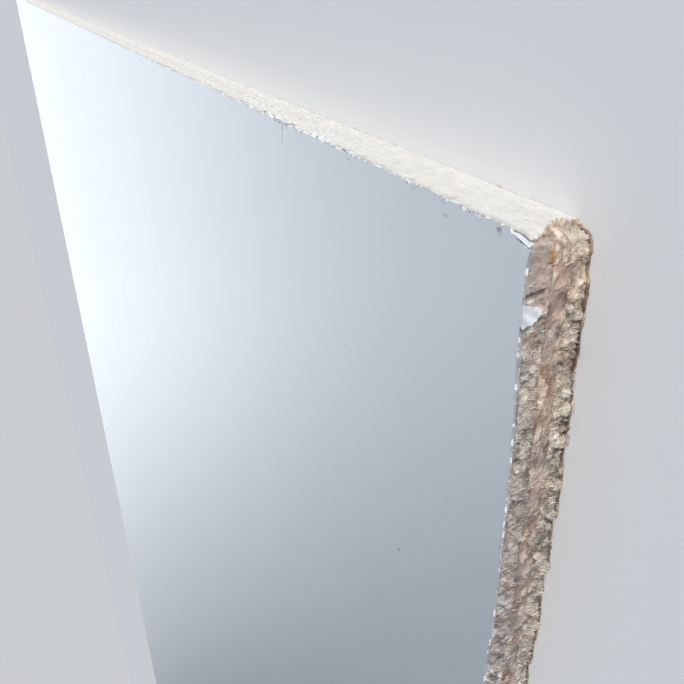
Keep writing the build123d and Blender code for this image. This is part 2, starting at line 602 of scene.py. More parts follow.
# %% Worn arrises
# Each point of a line: the distance down the long edge and the wear there, in mm.
upper_wear_line = (
    (0.0, 0.2), (1.5, 0.4), (4.0, 0.95), (8.0, 0.9), (14.0, 1.15), (22.0, 1.0), (27.0, 0.45), (32.0, 0.3),
    (39.0, 0.0), (63.0, 0.05), (71.0, 0.15), (78.0, 0.4), (86.0, 1.1), (92.0, 1.05), (100.0, 0.9),
    (130.0, 0.05))
lower_wear_line = (
    (0.0, 0.3), (3.5, 0.6), (7.0, 0.3), (11.0, 0.0), (18.0, 0.4), (25.0, 0.3), (30.0, 0.0), (64.0, 0.0),
    (70.0, 0.35), (76.0, 0.3), (83.0, 0.65), (90.0, 1.15), (99.0, 1.25), (130.0, 0.05))
wear_height, wear_curve, wear_share = 3.4, 1.6, 0.85
ply_corner_radius, corner_fan = 1.3, 4.0


def wear(runs, line):
    """The wear at each station along the long edge, which ends just round the corner."""
    distances, depths = np.array(line).T
    return np.interp(-runs, distances, depths, right=0.0) * np.clip(1 - runs / ply_corner_radius, 0.0, 1.0)


def corner_rounding(runs, height):
    """How far the torn corner is rounded back at a height, in mm: least under the laminate."""
    places, _ = outline(runs, ply_corner_radius)
    spokes = places - (half_length - corner_fan, corner_fan - half_width)
    taken = np.linalg.norm(spokes, axis=1) - corner_fan
    share = np.interp(height, (0.0, 4.0, 12.0), (1.0, 0.9, 0.35))
    return np.where(np.abs(runs) < corner_fan, taken, 0.0) * share


def worn_back(runs, height):
    """How far knocks have rounded the edge back at a height, in mm."""
    upper, lower = wear(runs, upper_wear_line), wear(runs, lower_wear_line)
    both = np.minimum(upper, lower)
    near_top = np.clip(1 - (cad_high.z / mm - height) / wear_height, 0.0, 1.0) ** wear_curve
    near_bottom = np.clip(1 - height / wear_height, 0.0, 1.0) ** wear_curve
    arrises = both + (upper - both) * near_top + (lower - both) * near_bottom
    return wear_share * arrises + corner_rounding(runs, height)


row_height = 0.16
ply_shells = {}
for node in ply_colours:
    low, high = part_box(node)
    row_count = max(3, round((high.z - low.z) / mm / row_height))
    rows = [(height, 0.0) for height in np.linspace(low.z / mm, high.z / mm, row_count + 1)]
    ply_shells[node] = shell(node, edge_runs, rows, ply_corner_radius, corner_fan, worn_back)
    print(node, "has a wall of", row_count, "rows")

# %% [markdown]
# A Geometry Nodes tree reads facts from the mesh, writes others onto it, and ends by making its copies
# real and giving them a material. It runs as a modifier on a holder, and what it makes becomes a plain
# mesh, so that nothing live is left on the piece.

# %% Helpers for Geometry Nodes
def geometry_tree(name, **inputs):
    """Starts a Geometry Nodes tree that changes a mesh and gives it a material. An input called Tuft Length
    is given as tuft_length."""
    titled = {title.replace("_", " ").title(): value for title, value in inputs.items()}
    return new_tree(name, "GeometryNodeTree", {"Geometry": "Geometry", "Material": "Material"} | titled,
                    {"Geometry": "Geometry"})


def attribute(tree, name, data_type="FLOAT"):
    """Reads an attribute of the mesh inside a Geometry Nodes tree."""
    return output("GeometryNodeInputNamedAttribute", name, tree=tree, data_type=data_type)


def store(geometry, name, value, domain="POINT"):
    """Writes a number onto the mesh's points, or onto instances, inside a Geometry Nodes tree."""
    return output("GeometryNodeStoreNamedAttribute", geometry, None, name, value, domain=domain)


def end_tree(geometry, given, result):
    """Makes a tree's copies real, presses them back into the sheet's own box if the tree is given that box,
    and sets their material."""
    geometry = output("GeometryNodeRealizeInstances", geometry)
    if "Lowest Corner" in given:
        held = output("GeometryNodeInputPosition", tree=geometry.tree)
        held = maths("MINIMUM", maths("MAXIMUM", held, given["Lowest Corner"]), given["Highest Corner"])
        geometry = output("GeometryNodeSetPosition", geometry, None, held)
    fill(result["Geometry"], output("GeometryNodeSetMaterial", geometry, None, given["Material"]))


def run_tree(name, tree, source, **values):
    """Runs a Geometry Nodes tree on a source mesh and places what it makes as a piece with a plain mesh. An
    input called Tuft Length is given as tuft_length."""
    holder = bpy.data.objects.new("holder", source)
    bpy.context.scene.collection.objects.link(holder)
    modifier = holder.modifiers.new(tree.name, "NODES")
    modifier.node_group = tree
    inputs = {socket.name: socket for socket in tree.interface.items_tree if socket.in_out == "INPUT"}
    for title, value in values.items():
        modifier[inputs[title.replace("_", " ").title()].identifier] = value
    bpy.context.view_layer.update()
    evaluated = holder.evaluated_get(bpy.context.evaluated_depsgraph_get())
    mesh = bpy.data.meshes.new_from_object(evaluated)
    bpy.data.objects.remove(holder)
    while mesh.materials and mesh.materials[0] is None:
        mesh.materials.pop(index=0)
    return place_piece(name, mesh)


print("helpers for Geometry Nodes ready")

# %% [markdown]
# A saw tears wood rather than cutting it clean. The torn long edge is covered with tufts like overlapping
# shingles, which lean the way the teeth left the cut. Cells of a stretched pattern stand for the
# tufts: each has its own height and rises towards its tip, so it ends in a step that throws a shadow.
# A few pale tufts stand out at the lower arris, and one tooth left a groove beside a smoother patch.
# The short edge is cut cleaner, with only shallow furrows. The worn corner is a bite where the tearing
# runs on round the corner, further at the back than at the front. One Geometry Nodes tree does it all.

# %% Tree for the torn edge
bite_reach, bite_low, bite_high = 6.0, 2.5, 12.2
deepest = 2.6
# The groove's distance from the corner at its top and at its lower end, and that end's height, in mm.
groove_top, groove_foot, groove_height = 9.7, 8.9, 8.0
# Each pale tuft: its distance down the long edge from the worn corner, its height and its radius, in mm.
pale_tufts = ((14.5, 1.2, 1.1), (31.5, 0.8, 1.5), (37.9, 0.9, 1.6), (46.9, 0.8, 1.5), (53.5, 1.0, 1.2),
              (65.9, 0.7, 1.4), (81.5, 0.8, 1.6))


def torn_edge_tree():
    """Pushes a ply's wall into the sheet. Lengths are in mm."""
    tree, given, result = geometry_tree(
        "torn_edge", tuft_lean=(0.7, 0.0, -0.7), tuft_length=1.3, tuft_width=0.5, torn_depth=0.6,
        torn_setback=0.1, furrows=(1.0, 0.3, 3.0), furrow_depth=0.12, furrow_setback=0.12, seed=0.0)
    place = scaled(output("GeometryNodeInputPosition", tree=tree), 1 / mm)
    way_out = attribute(tree, "way_out", "FLOAT_VECTOR")
    run = attribute(tree, "run")
    height_above = place["Z"]
    short_side = spread(way_out["X"] * way_out["X"], 0.35, 0.65)
    seeded = place + combined(tree, given["Seed"], given["Seed"], given["Seed"])

    # Where the surface is torn: the long side, and the bite round the corner
    reach = spread(height_above, bite_high, bite_low, 0.2, bite_reach) + spread(height_above, 2.2, 1.2) * -1.4
    reach = reach + (noise(place, 0.9, 3.0, 0.7) - 0.5) * 4.0
    near_corner = maths("GREATER_THAN", spread(place["X"], 0.0, half_length), 0.5)
    bite = spread(run - reach, -0.35, 0.35, 1.0, 0.0) * near_corner
    worn = maths("MAXIMUM", 1.0 - short_side, bite)

    # Tufts like shingles, gathered in clumps, and the pale ones at the lower arris
    lean = given["Tuft Lean"]
    crosswise = combined(tree, lean["Z"] * -1.0, 0.0, lean["X"])
    wander = (noise(seeded, 0.7) - 0.5) * 1.6
    lengthwise = measured("DOT_PRODUCT", seeded, lean) / given["Tuft Length"]
    widthwise = measured("DOT_PRODUCT", seeded, crosswise) / given["Tuft Width"]
    tuft_space = combined(tree, lengthwise + wander, widthwise, seeded["Y"] / given["Tuft Length"])
    _, tuft_colour, tuft_middle = cells(tuft_space)
    rise = tuft_space["X"] - tuft_middle["X"]
    shingles = tuft_colour["X"] * 0.6 + spread(rise, -0.6, 0.5, 0.0, 0.4)
    clump_gap, clump_colour, _ = cells((tuft_space + (3.7, 1.9, 5.1)) * (0.48, 0.36, 0.48))
    tuft = spread(clump_gap, 0.68, 0.2) * spread(clump_colour["X"], 0.3, 0.9)
    lifted = 0.0
    for down, above, radius in pale_tufts:
        from_tuft = measured("LENGTH", (place - (half_length - down, -half_width, above)) * (1.0, 0.2, 0.8))
        lifted = maths("MAXIMUM", lifted, spread(from_tuft + wander * 0.35, radius, 0.5 * radius))
    tuft = maths("MAXIMUM", tuft, lifted * 0.9)
    lumps = spread(noise(seeded, 0.3), 0.3, 0.7)
    threads = noise(tuft_space * (0.9, 2.2, 1.5), 1.0)
    torn_height = lumps * 0.3 + tuft * 0.5 + shingles * 0.3 + threads * 0.35 - 0.15

    # A smoother patch, and the groove beside it
    smooth = spread(run, -9.8, -8.0) * spread(height_above, 7.4, 8.8, 0.0, 0.6)
    torn_height = blend_values(smooth, torn_height, 0.62)
    slant = (groove_top - groove_foot) / (cad_high.z / mm - groove_height)
    groove_line = height_above * -slant + (slant * groove_height - groove_foot)
    groove = spread(maths("ABSOLUTE", run - groove_line + wander * 0.25), 0.85, 0.2)
    groove = groove * spread(height_above, groove_height - 0.8, groove_height + 0.6)
    torn_height = torn_height * (1.0 - groove)
    tuft = tuft * (1.0 - maths("MAXIMUM", smooth, groove))

    # The whole surface from 0 to 1, and how far that pushes the wall in
    furrows = spread(noise(seeded * given["Furrows"], 1.0, 3.0, 0.6), 0.33, 0.67)
    height = maths("MINIMUM", maths("MAXIMUM", blend_values(worn, furrows, torn_height), 0.0), 1.0)
    depth = blend_values(worn, given["Furrow Depth"], given["Torn Depth"])
    depth = depth * (spread(run, -8.0, -14.0, 1.0, 1.3) * spread(run, -27.0, -38.0, 1.0, 0.77))
    setback = blend_values(worn, given["Furrow Setback"], given["Torn Setback"])
    nibbled = spread(noise(place * (0.17, 0.17, 0.1), 1.0, 3.0, 0.6), 0.42, 0.62)
    nibbled = nibbled * spread(height_above, 4.5, 0.0, 0.0, 0.6)
    nibbled = nibbled * maths("SUBTRACT", worn, lifted, use_clamp=True)
    inward = setback + depth * (1.0 - height) + bite * short_side * 0.5 + nibbled
    inward = maths("MINIMUM", inward + attribute(tree, "worn_back") + groove * 0.35, deepest)
    geometry = output("GeometryNodeSetPosition", given["Geometry"], None, None, scaled(way_out, inward * -mm))
    facts = dict(torn=height, worn=worn, tuft=tuft, clump=clump_colour["Y"], threads=threads)
    for name, value in facts.items():
        geometry = store(geometry, name, value)
    end_tree(geometry, given, result)
    return tree


torn_edge = torn_edge_tree()
print("torn_edge has", len(torn_edge.nodes), "nodes")

# %% [markdown]
# The veneers and the core have their grain along the sheet, and the two crossbands have it across.
# So on the long edges the crossbands show end grain and the core shows long grain, and on the short
# edges it is the other way round. Tufts of end grain are short and steep. Slivers of long grain are
# longer, and they lie nearer to the edge's own direction.

# %% Tear the plies
steep_lean = Vector((0.72, 0.0, -0.69))
low_lean = Vector((0.95, 0.0, -0.31))
end_grain = dict(tuft_lean=steep_lean, tuft_length=0.95, tuft_width=0.62, furrows=(1.0, 0.22, 3.2))
long_grain = dict(tuft_lean=low_lean, tuft_length=2.0, tuft_width=0.62, furrows=(1.0, 2.4, 2.4))
ply_tears = {
    "back_veneer": long_grain | dict(torn_depth=0.5, furrow_depth=0.08),
    "lower_crossband": end_grain | dict(torn_depth=1.0, furrow_depth=0.08),
    "core_ply": long_grain | dict(torn_depth=0.75, furrow_depth=0.1),
    "upper_crossband": end_grain | dict(torn_depth=0.75, furrow_depth=0.08),
    "face_veneer": long_grain | dict(torn_depth=0.45, furrow_depth=0.1),
}
seed_step = 7.3
plies = {}
for number, (node, values) in enumerate(ply_tears.items()):
    values = values | dict(seed=seed_step * number, material=ply_materials[node])
    plies[node] = run_tree(node + "_edge", torn_edge, ply_shells[node], **values)

underside = plies["back_veneer"].data
underside.materials.append(veneer_face)
for polygon in underside.polygons:
    polygon.material_index = int(polygon.normal.z < -0.99)
print("the plies are torn")

# %% [markdown]
# Loose fibres stand on the torn surface. A fibre is a bent, tapered thread with three sides: the tree draws
# three of them as short curves with different bends, scatters points over the wall, and sets a
# random one on each point. Fibres grow thick near the worn corner and thin out with distance. They are
# kept inside the sheet's own box, as if something flat had once been pressed against the edge.

# %% Tree for loose fibres
sheet_box = dict(lowest_corner=tuple(cad_low), highest_corner=tuple(cad_high))
thread_shapes = ((0.3, 0.14), (0.45, 0.2), (-0.2, 0.3))


def random_value(tree, low, high, seed, data_type="FLOAT"):
    """A random number, or a random vector, for each point."""
    made = output("FunctionNodeRandomValue", tree=tree, data_type=data_type).socket.node
    inputs = {socket.name: socket for socket in made.inputs if socket.enabled}
    for title, value in (("Min", low), ("Max", high), ("Seed", seed)):
        fill(inputs[title], value)
    return Value(next(socket for socket in made.outputs if socket.enabled))


def strand(tree, bend, thickness, fibre_sides=3, fibre_joints=3):
    """One bent thread of length 1 as an instance. Its foot is at the origin, and it rises along Z."""
    bow = (0, 0, 0), (0, 0, 0.55), (bend, 0, 0.95)
    line = output("GeometryNodeCurveQuadraticBezier", fibre_joints, *bow, tree=tree)
    ring_values = fibre_sides, None, None, None, thickness / 2
    ring = output("GeometryNodeCurvePrimitiveCircle", *ring_values, tree=tree)
    taper = spread(output("GeometryNodeSplineParameter", tree=tree), 0.1, 1.0, 1.0, 0.18)
    tube = output("GeometryNodeCurveToMesh", line, ring, taper, True)
    return output("GeometryNodeGeometryToInstance", tube)


def loose_fibres_tree():
    """Scatters fibres over a torn wall. Densities are for a square millimetre, and lengths in mm."""
    tree, given, result = geometry_tree(
        "loose_fibres", torn_density=5.0, clean_density=1.0, far_share=0.006, shortest=0.5, longest=1.5,
        outward=0.6, lean=(0.7, 0.0, -0.7), seed=1, **sheet_box)
    run, worn, torn, tuft = [attribute(tree, name) for name in ("run", "worn", "torn", "tuft")]
    near = spread(run, -150.0, -90.0) * spread(run, 420.0, 60.0) + given["Far Share"]
    near = near * spread(maths("ABSOLUTE", run), 3.0, 45.0, 0.3, 1.0)
    density = blend_values(worn, given["Clean Density"], given["Torn Density"]) * near
    density = density * spread(torn, 0.15, 0.8, 0.2, 1.4) * spread(tuft, 0.2, 0.9, 0.8, 1.9)
    normal = output("GeometryNodeInputNormal", tree=tree)
    is_wall = maths("LESS_THAN", maths("ABSOLUTE", normal["Z"]), 0.98)
    points = output("GeometryNodeDistributePointsOnFaces", given["Geometry"], is_wall, None, None,
                    density * (1 / (mm * mm)), None, given["Seed"])

    way_out = attribute(tree, "way_out", "FLOAT_VECTOR")
    tangled = random_value(tree, (-0.8, -0.5, -0.8), (0.8, 0.3, 0.8), 11, "FLOAT_VECTOR")
    torn_way = scaled(way_out, given["Outward"]) + given["Lean"]
    clean_way = scaled(way_out, 0.12) + (0.0, 0.95, -0.2)
    heading = blend("VECTOR", worn, clean_way, torn_way) + tangled
    aligned = output("FunctionNodeAlignRotationToVector", None, None, heading, axis="Z")
    spin = output("FunctionNodeAxisAngleToRotation", (0, 0, 1), random_value(tree, 0.0, math.tau, 12))
    turned = output("FunctionNodeRotateRotation", aligned, spin, rotation_space="LOCAL")
    chance = maths("POWER", random_value(tree, 0.0, 1.0, 13), 2.2)
    length = blend_values(chance, given["Shortest"], given["Longest"])

    bundle = output("GeometryNodeJoinGeometry", tree=tree)
    for bend, thickness in thread_shapes:
        fill(bundle.socket.node.inputs[0], strand(tree, bend, thickness))
    grown = output("GeometryNodeInstanceOnPoints", points, None, bundle, True, None, turned,
                   scaled((1, 1, 1), length * mm))
    paleness = blend_values(0.5, random_value(tree, 0.0, 1.0, 14), torn)
    end_tree(store(grown, "shade", paleness, "INSTANCE"), given, result)
    return tree


loose_fibres = loose_fibres_tree()
print("loose_fibres has", len(loose_fibres.nodes), "nodes")

# %% [markdown]
# End grain breaks into short tufts that stand well out, and long grain into slivers that lie flatter.
# The two thin veneers splinter most. Each ply's fibres are a piece of their own, and a fixed seed lets
# them fall in the same places every time.

# %% Grow the fibres
tufted = dict(torn_density=3.2, clean_density=0.12, shortest=0.35, longest=1.35, outward=0.6, lean=steep_lean)
slivered = dict(torn_density=2.2, clean_density=0.12, shortest=0.4, longest=1.5, outward=0.35, lean=low_lean)
ply_fibres = {
    "back_veneer": slivered | dict(torn_density=6.0, clean_density=2.0),
    "lower_crossband": tufted | dict(torn_density=3.8),
    "core_ply": slivered,
    "upper_crossband": tufted,
    "face_veneer": slivered | dict(torn_density=5.0, longest=1.4),
}
first_seed = 31
fibres = {}
for number, (node, values) in enumerate(ply_fibres.items()):
    values = values | dict(seed=first_seed + number, material=fibre_materials[node])
    fibres[node] = run_tree(node + "_fibres", loose_fibres, plies[node].data, **values)
print(len(fibres), "plies have fibres")

# %% [markdown]
# The laminate is a satin white sheet with faint clouds in it and a very fine texture. Its face has a few
# marks, each placed by its distances from the worn corner: a hairline crack, a dark dot, a small pimple and a
# speck, and three smudges of painted shade where the rim is notched. Where it is broken, its inside is a
# rougher white, dulled grey by dust and painted shade, with painted glints that are most frequent in the
# stretch where the saw chattered.

# %% Laminate materials
# Each mark: how far it is along the short edge and down the long one, its radius, its strength and stretch.
face_marks = (
    (35.5, 86.4, 0.5, 0.85, 1.0),  # the dark dot
    # The three smudges that follow are painted shade where the rim is notched.
    (22.5, 2.9, 0.45, 0.4, 3.2),  # three smudges
    (8.0, 0.95, 0.7, 0.95, 1.3),
    (7.8, 1.7, 0.5, 0.3, 1.3),
    (60.0, 46.0, 0.3, 0.25, 1.0),  # a speck
)
pimple_place, pimple_radius = (46.4, 17.2), 0.45
crack_start, crack_end = (97.7, -0.3), (98.7, 5.7)


def from_corner(along, down, height=cad_high.z / mm):
    """A place in mm, given by distances from the worn corner along the short edge and down the long one."""
    return half_length - down, along - half_width, height


def distance_to(in_mm, along, down, stretch=1.0):
    """How far a point of the face is from a mark, which may be stretched along the short edge."""
    return measured("LENGTH", (in_mm - from_corner(along, down)) * (1.0, 1 / stretch, 1.0))


def laminate_material():
    """Satin white laminate with its marks, and painted shade where the rim is notched."""
    material, tree, surface = principled("laminate_face", roughness=0.29, specular=0.5)
    surface.inputs["IOR"].default_value = 1.85
    in_mm = object_in_mm(tree)
    clouds = spread(noise(in_mm, 0.03, 4.0, 0.6), 0.35, 0.7)
    colour = blend_colours(clouds, (0.785, 0.795, 0.81), (0.765, 0.78, 0.80))
    ragged = (noise(in_mm, 3.0) - 0.5) * 0.5
    for along, down, radius, strength, stretch in face_marks:
        mark = spread(distance_to(in_mm, along, down, stretch) + ragged, radius, radius * 0.4, 0.0, strength)
        colour = blend_colours(mark, colour, (0.16, 0.16, 0.17))
    start, end = Vector(from_corner(*crack_start)), Vector(from_corner(*crack_end))
    way, crack_length = (end - start).normalized(), (end - start).length
    along_crack = measured("DOT_PRODUCT", in_mm - start, way)
    beside_crack = measured("DOT_PRODUCT", in_mm - start, Vector((-way.y, way.x, 0.0)))
    beside_crack = maths("ABSOLUTE", beside_crack + (noise(in_mm, 0.8) - 0.5) * 0.35)
    crack = maths("LESS_THAN", beside_crack, spread(along_crack, 0.0, crack_length, 0.48, 0.1))
    crack = crack * maths("LESS_THAN", along_crack, crack_length)
    fill(surface.inputs["Base Color"], blend_colours(crack * 0.85, colour, (0.17, 0.18, 0.20)))
    pimple = spread(distance_to(in_mm, *pimple_place), pimple_radius, 0.0, 0.0, 6.0)
    bump_from(surface, noise(in_mm, 2.5) * 0.04 + pimple, 0.5, 0.03)
    return material


def broken_laminate_material(name, dull, bright, share):
    """The rough inside of broken laminate: dull grey, partly from sawdust and partly painted shade, with
    painted glints on some of its crumbs.
    """
    material, tree, surface = principled(name, roughness=0.45, specular=0.5)
    in_mm, run = object_in_mm(tree), painted(tree, "run")
    share = spread(run, 62.0, 84.0, spread(run, 9.0, 13.0, share, 0.3), 0.62)
    share = spread(run, 116.0, 130.0, share, 0.3)
    # Painted glints: some cells take the bright colour, as crumbs that catch the light.
    painted_glints = maths("LESS_THAN", cells(in_mm, 0.9)[1]["X"], share)
    colour = blend_colours(noise(in_mm, 2.0, 3.0), dull, [1.15 * value for value in dull])
    fill(surface.inputs["Base Color"], blend_colours(painted_glints, colour, bright))
    bump_from(surface, noise(in_mm, 6.0), 0.5, 0.05)
    return material


laminate_face = laminate_material()
# The broken rim's dull grey is partly dust and partly painted shade in its recess.
broken_laminate = broken_laminate_material("broken_laminate", (0.40, 0.395, 0.395), (0.90, 0.92, 0.95), 0.16)
crumbs = broken_laminate_material("laminate_crumbs", (0.77, 0.79, 0.80), (0.94, 0.95, 0.96), 0.5)
print("laminate materials ready, with", len(face_marks), "marks on the face")

# %% [markdown]
# Laminate is brittle. A saw tooth snaps scallops off its rim, deeper on the face than underneath, so the
# broken edge slopes and shows the laminate's inside. The rim is one line of insets, worked out from many
# small scallops, the worn arris and the large chips, most of which the photograph shows.

# %% Chipped rim of the laminate
draw = np.random.default_rng(12)
# Each chip: how far its middle is from the worn corner, negative down the long edge, its length and depth.
large_chips = (
    (8.4, 1.2, 0.7), (13.3, 2.6, 0.7), (15.5, 3.8, 0.4), (17.0, 3.2, 0.85), (23.2, 3.4, 0.55),
    (33.0, 3.0, 0.4), (34.6, 3.0, 0.55), (37.4, 2.4, 0.45), (41.2, 3.2, 0.5), (49.3, 2.6, 0.4),
    (56.8, 4.4, 0.4), (59.8, 1.8, 0.45), (68.0, 3.0, 0.35), (86.0, 3.4, 0.6), (94.5, 5.0, 0.9),
    (101.0, 4.4, 0.8), (110.0, 3.2, 0.5), (213.0, 5.0, 0.7), (-44.0, 1.8, 0.3), (-57.0, 2.4, 0.35),
)
# Round the corner the laminate broke off along a slant: distances along the short edge, and insets.
corner_break = ((0.9, 1.6), (2.0, 1.42), (3.0, 1.2), (4.9, 0.7), (5.4, 0.2), (6.0, 0.0))
break_end = -1.9
scallops_from, scallops_to = -150.0, 430.0


def scallop(runs, middle, length, depth):
    """The inset that one shell-shaped chip leaves, as part of an ellipse."""
    share = np.clip(1 - ((runs - middle) / (length / 2)) ** 2, 0, None)
    return depth * np.sqrt(share)


def chipped_inset(runs, base):
    """The laminate's inset at each station: a base, the worn arris, small scallops and the large chips."""
    worn = wear(runs, upper_wear_line) + np.interp(runs, *np.array(corner_break).T, left=0.0)
    start = base + worn
    inset = start.copy()
    middle = scallops_from
    while middle < scallops_to:
        roughness = np.interp(middle, (55.0, 84.0, 114.0, 126.0, 250.0), (1.0, 3.4, 3.4, 1.6, 1.0))
        length = draw.uniform(0.4, 1.9)
        depth = draw.uniform(0.03, 0.2) * length ** 0.5 * roughness
        inset = np.maximum(inset, start + scallop(runs, middle, length, depth))
        middle += draw.uniform(0.25, 1.4) * length
    for middle, length, depth in large_chips:
        ragged = depth * (1 + 0.3 * np.sin(runs * 7.0) * np.sin(runs * 3.1))
        inset = np.maximum(inset, start + scallop(runs, middle, length, ragged))
    return inset, start


laminate_low, laminate_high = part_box("white_laminate")
laminate_bottom, laminate_top = laminate_low.z / mm, laminate_high.z / mm
laminate_thickness = laminate_top - laminate_bottom
rim_runs = stations(0.085, 0.0018, 0.0006)
rim_runs = rim_runs[(rim_runs >= corner_break[0][0]) | (rim_runs <= break_end)]
rim_base, rim_corner_radius = 0.06, 0.5
top_inset, unchipped_inset = chipped_inset(rim_runs, rim_base)
bottom_inset = unchipped_inset + 0.3 * (top_inset - unchipped_inset)
middle_inset = 0.45 * top_inset + 0.55 * bottom_inset
rows = [
    (laminate_bottom, bottom_inset),
    (laminate_bottom + 0.35 * laminate_thickness, bottom_inset),
    (laminate_bottom + 0.8 * laminate_thickness, middle_inset),
    (laminate_top, top_inset),
]
laminate = place_piece("laminate_sheet", shell("laminate_sheet", rim_runs, rows, rim_corner_radius))
laminate.data.materials.append(laminate_face)
laminate.data.materials.append(broken_laminate)
for polygon in laminate.data.polygons:
    polygon.material_index = int(abs(polygon.normal.z) < 0.98)
print("the laminate's deepest chip is", round(float(top_inset.max()), 2), "mm")

# %% [markdown]
# Chips do not fall away cleanly. Small flakes of laminate hang on at the rim, most of them where a large
# chip broke off, and they catch the light as white sparks. They repeat, so a Geometry Nodes tree
# sets thin five-sided plates on points of the rim, more of them where the rim is deeply chipped.

# %% Tree for laminate flakes
plate_sides, plate_radius, plate_depth = 5, 0.5, 1.0
thinnest, thickest = 0.06, 0.16


def laminate_flakes_tree():
    """Sets small plates on the rim's points. Lengths are in mm."""
    tree, given, result = geometry_tree(
        "laminate_flakes", share_of_points=0.05, share_at_chips=0.3, smallest=0.2, largest=0.9,
        narrowest=0.35, widest=0.8, least_turn=(-0.7, -0.7, 0.0), most_turn=(0.7, 0.7, math.tau), seed=1,
        **sheet_box)
    points = output("GeometryNodeMeshToPoints", given["Geometry"])
    chipped = attribute(tree, "chipped")
    share = blend_values(chipped, given["Share Of Points"], given["Share At Chips"])
    kept = maths("LESS_THAN", random_value(tree, 0.0, 1.0, given["Seed"]), share)
    plate = output("GeometryNodeMeshCylinder", plate_sides, None, None, plate_radius, plate_depth, tree=tree)
    angles = random_value(tree, given["Least Turn"], given["Most Turn"], 21, "FLOAT_VECTOR")
    size = random_value(tree, given["Smallest"], given["Largest"], 22) * (1.0 + chipped * 0.8)
    narrow = size * random_value(tree, given["Narrowest"], given["Widest"], 23)
    scale = scaled(combined(tree, size, narrow, random_value(tree, thinnest, thickest, 24)), mm)
    grown = output("GeometryNodeInstanceOnPoints", points, kept, plate, None, None,
                   output("FunctionNodeEulerToRotation", angles), scale)
    end_tree(grown, given, result)
    return tree


laminate_flakes = laminate_flakes_tree()
print("laminate_flakes has", len(laminate_flakes.nodes), "nodes")

# %% [markdown]
# The same tree makes four kinds of flake, each with its own sizes and turns: small ones all along the
# rim, long ones that cling at places seen in the photograph, narrow lips that stand up where a chip is
# only half off, and crumbs that hang over the wood where the saw chattered.

# %% Scatter the flakes
def scatter(name, picked, below, deepest_inset=9.0, **values):
    """Runs the flake tree on loose points of the rim, some mm below its face. Each point keeps how deeply
    the rim is chipped there."""
    places, ways_out = outline(rim_runs[picked], rim_corner_radius)
    on_rim = places - ways_out * np.minimum(top_inset[picked], deepest_inset)[:, None]
    heights = np.broadcast_to(laminate_top - below, len(picked))
    points = mesh_in_mm("rim_points", np.column_stack([on_rim, heights]))
    keep(points, "chipped", np.clip((top_inset[picked] - unchipped_inset[picked] - 0.2) / 0.3, 0.0, 1.0))
    return run_tree(name, laminate_flakes, points, material=crumbs, **values)


def stations_near(distances):
    """The rim's stations nearest to some distances from the worn corner."""
    return np.array([np.abs(rim_runs - distance).argmin() for distance in distances])


spaced, last = [], -1e9
for i, run in enumerate(rim_runs):
    if -140.0 < run < 420.0 and run - last > 0.18 * (1 + abs(run) / 60.0):
        spaced.append(i)
        last = run
flakes = scatter(
    "laminate_flakes", np.array(spaced), 0.12, share_of_points=0.09, share_at_chips=0.4, smallest=0.2,
    largest=0.9, seed=5)
# Long flakes that still cling along the short edge, as distances from the worn corner in mm.
clinging = (12.6, 15.4, 25.4, 60.0, 22.7, 26.5, 33.5, 37.9, 41.0, 47.5, 56.5, 61.0, 68.0, 75.0, 85.9, 92.3,
            94.6, 97.2, 100.4, 103.0, 106.5, 110.6, 118.0, 127.0)
long_flakes = scatter(
    "long_flakes", stations_near(clinging), 0.16, share_of_points=1.0, share_at_chips=1.0, smallest=1.2,
    largest=2.3, least_turn=(0.15, -0.12, 1.3), most_turn=(0.75, 0.12, 1.8), seed=8)
# Chips that are only half off stand up as narrow lips, which face the lamp.
# Each has its distance, its deepest inset and how far below the face it sits, in mm.
lip_places = (
    (13.3, 0.5, 0.06), (17.0, 0.65, 0.05), (23.2, 0.38, 0.2), (34.4, 0.42, 0.2), (37.4, 0.35, 0.15),
    (41.0, 0.38, 0.12), (45.2, 0.25, 0.2), (49.3, 0.35, 0.2), (57.0, 0.32, 0.2), (59.8, 0.36, 0.2),
    (62.5, 0.25, 0.2),
)
lip_distances, lip_insets, lip_drops = np.array(lip_places).T
lips = scatter(
    "lifted_lips", stations_near(lip_distances), lip_drops, lip_insets, share_of_points=1.0,
    share_at_chips=1.0, smallest=1.3, largest=1.7, narrowest=0.19, widest=0.25,
    least_turn=(0.45, -0.05, 1.48), most_turn=(0.7, 0.05, 1.6), seed=7)
# Where the saw chattered, broken crumbs also hang over the wood's edge, up to 1.6 mm below the face.
hanging_distances = np.arange(72.0, 116.0, 1.0)
hanging_below = draw.uniform(0.15, 1.6, len(hanging_distances))
hanging = scatter(
    "hanging_flakes", stations_near(hanging_distances), hanging_below, 0.12, share_of_points=0.8,
    share_at_chips=0.8, smallest=0.7, largest=1.7, least_turn=(0.6, -0.5, 1.1), most_turn=(1.5, 0.5, 2.1),
    seed=9)

# %% [markdown]
# Two flakes are large enough to have their own shape: one is folded down over the long edge a
# centimetre from the corner, and a bright sliver still bridges the corner itself. The first is a strip of
# laminate that follows a few cross-sections, from the broken rim over the arris and down. The second is an
# outline of a few points with a top and an underside.

# %% Large flakes
def closed_piece(name, vertices, faces):
    """A piece from points in mm: along the short edge, down the long edge, and height above the floor."""
    mesh = mesh_in_mm(name, [from_corner(*vertex) for vertex in vertices], faces)
    mesh.validate()
    mesh.materials.append(crumbs)
    return place_piece(name, mesh)


def thin_plate(name, points, thickness):
    """A plate that lies under an outline of points."""
    count = len(points)
    under = [(along, down, height - thickness) for along, down, height in points]
    faces = [tuple(range(count)), tuple(range(2 * count - 1, count - 1, -1))]
    faces += [(i, i + count, (i + 1) % count + count, (i + 1) % count) for i in range(count)]
    return closed_piece(name, (*under, *points), faces)


